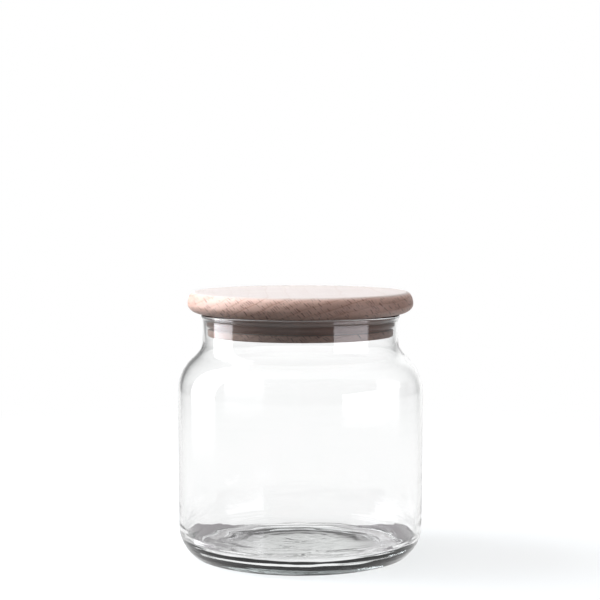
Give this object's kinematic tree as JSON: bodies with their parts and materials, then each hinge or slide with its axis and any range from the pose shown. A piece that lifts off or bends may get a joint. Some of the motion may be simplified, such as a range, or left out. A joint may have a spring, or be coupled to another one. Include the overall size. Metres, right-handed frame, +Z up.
{
  "type": "storage jar",
  "caption": "Clear glass storage jar with a rounded shoulder and heavy base, closed by a turned wooden stopper lid with a soft finned seal ring.",
  "frame": {"origin": "centre of the plane the jar stands on", "axes": "+Z up along the axis that the jar, lid and seal are turned about; the three pieces look the same from every side"},
  "size_m": [0.098, 0.098, 0.105],
  "materials": {
    "clear_glass": "clear fire-polished soda-lime glass with a faint green tint",
    "beech": "fine-sanded pale beech with short ray flecks, untreated or lightly oiled",
    "silicone": "clear translucent silicone, satin"
  },
  "bodies": {
    "jar": {"glass_jar": "clear_glass"},
    "lid": {"wooden_lid": "beech", "seal_ring": "silicone"}
  },
  "joints": [
    {"name": "lid_lift", "type": "slide", "parent": "jar", "child": "lid", "axis": [0, 0, 1], "range_m": [0, 0.03]}
  ]
}
